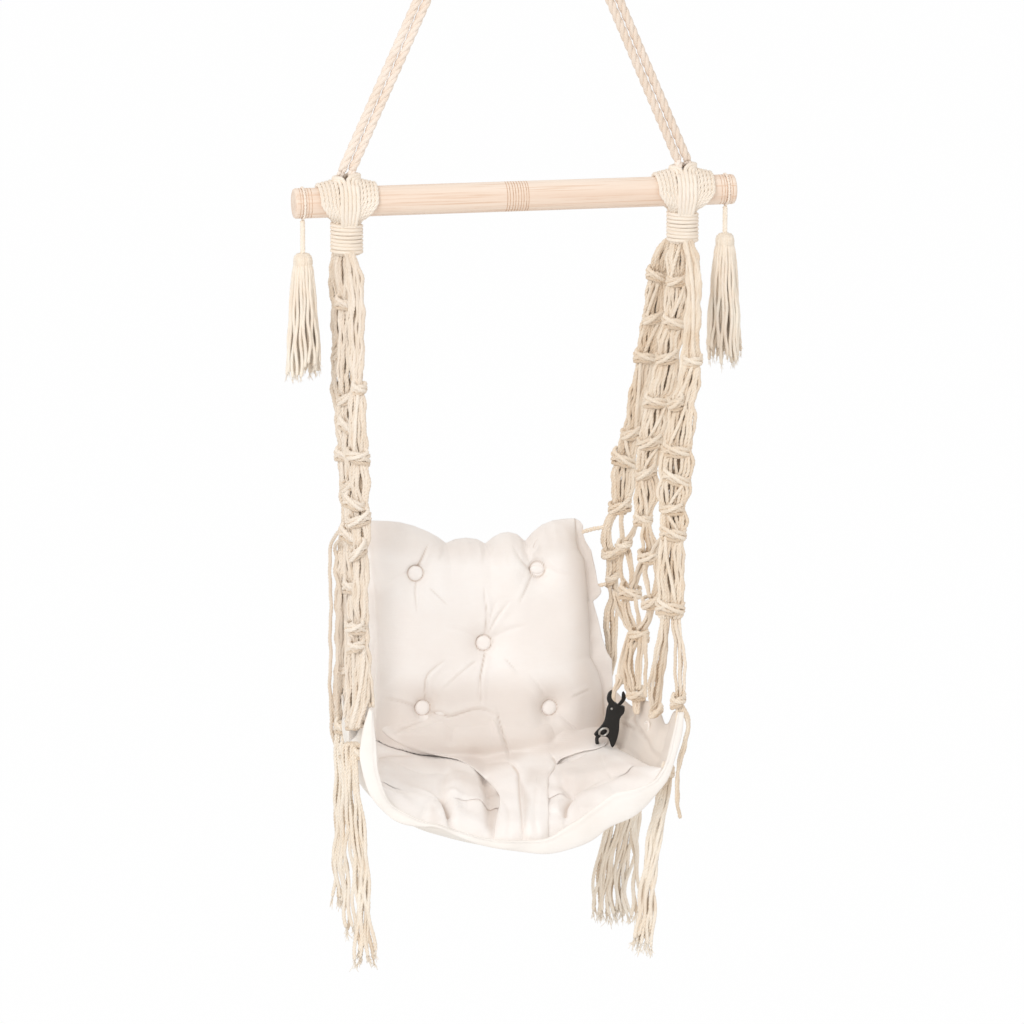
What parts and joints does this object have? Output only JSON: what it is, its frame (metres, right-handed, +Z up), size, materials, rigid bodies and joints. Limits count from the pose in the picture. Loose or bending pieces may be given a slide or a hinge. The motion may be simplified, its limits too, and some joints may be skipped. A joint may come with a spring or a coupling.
{
  "type": "hammock chair",
  "caption": "Hanging seat: a wooden bar on doubled ropes carries knotted cord panels, a canvas sling, tufted seat and back cushions, tassels and a snap hook.",
  "frame": {"origin": "Top inside point of the hanging ring, where a ceiling hook carries the chair", "axes": "+Z up along the hanging line, +X along the wooden bar to the right in the picture, -Y the open front of the seat"},
  "size_m": [0.622, 0.3593, 1.6451],
  "materials": {
    "wood": "matte",
    "cotton": "matte",
    "canvas": "matte",
    "ivory": "matte",
    "webbing": "matte",
    "black": "satin",
    "steel": "satin"
  },
  "bodies": {
    "hanging_ring": {"hanging_ring": "steel"},
    "suspension": {"left_rope": "cotton", "right_rope": "cotton", "top_whipping": "cotton"},
    "seat": {"wooden_bar": "wood", "canvas_sling": "canvas", "front_hem": "canvas", "seat_cushion": "ivory", "centre_flap": "canvas", "back_cushion": "ivory", "back_button_1": "ivory", "back_button_2": "ivory", "back_button_3": "ivory", "back_button_4": "ivory", "back_button_5": "ivory", "left_rope_hitch": "cotton", "left_bar_cords": "cotton", "left_wrap": "cotton", "left_front_sinnet": "cotton", "left_middle_sinnet": "cotton", "left_rear_sinnet": "cotton", "left_front_fringe": "cotton", "left_middle_fringe": "cotton", "left_rear_fringe": "cotton", "left_upper_tie": "cotton", "left_lower_tie": "cotton", "left_eyelet": "steel", "left_tassel_loop": "cotton", "right_rope_hitch": "cotton", "right_bar_cords": "cotton", "right_wrap": "cotton", "right_front_sinnet": "cotton", "right_middle_sinnet": "cotton", "right_rear_sinnet": "cotton", "right_front_fringe": "cotton", "right_middle_fringe": "cotton", "right_rear_fringe": "cotton", "right_upper_tie": "cotton", "right_lower_tie": "cotton", "right_eyelet": "steel", "right_tassel_loop": "cotton", "right_snap_hook": "black", "right_hook_rivet": "steel", "right_hook_ring": "steel", "right_hook_loop": "cotton", "right_hook_tab": "webbing"},
    "left_tassel": {"left_tassel_cord": "cotton", "left_tassel_skirt": "cotton", "left_tassel_binding": "cotton"},
    "right_tassel": {"right_tassel_cord": "cotton", "right_tassel_skirt": "cotton", "right_tassel_binding": "cotton"},
    "right_gate": {"right_hook_gate": "black"}
  },
  "joints": [
    {"name": "swing", "type": "hinge", "parent": "hanging_ring", "child": "suspension", "pos_m": [0, 0, -0.04317], "axis": [1, 0, 0], "range_deg": [-30, 30]},
    {"name": "seat_tilt", "type": "hinge", "parent": "suspension", "child": "seat", "pos_m": [0, 0, -0.578], "axis": [1, 0, 0], "range_deg": [-15, 15]},
    {"name": "left_tassel_swing", "type": "hinge", "parent": "seat", "child": "left_tassel", "pos_m": [-0.294, 0, -0.6448], "axis": [1, 0, 0], "range_deg": [-45, 45]},
    {"name": "right_tassel_swing", "type": "hinge", "parent": "seat", "child": "right_tassel", "pos_m": [0.282, 0, -0.6448], "axis": [1, 0, 0], "range_deg": [-45, 45]},
    {"name": "right_gate_hinge", "type": "hinge", "parent": "seat", "child": "right_gate", "pos_m": [0.1399, -0.018, -1.3238], "axis": [0, -1, 0], "range_deg": [0, 16], "stiffness_Nm_per_rad": 0.01, "springref_deg": -5.73}
  ]
}
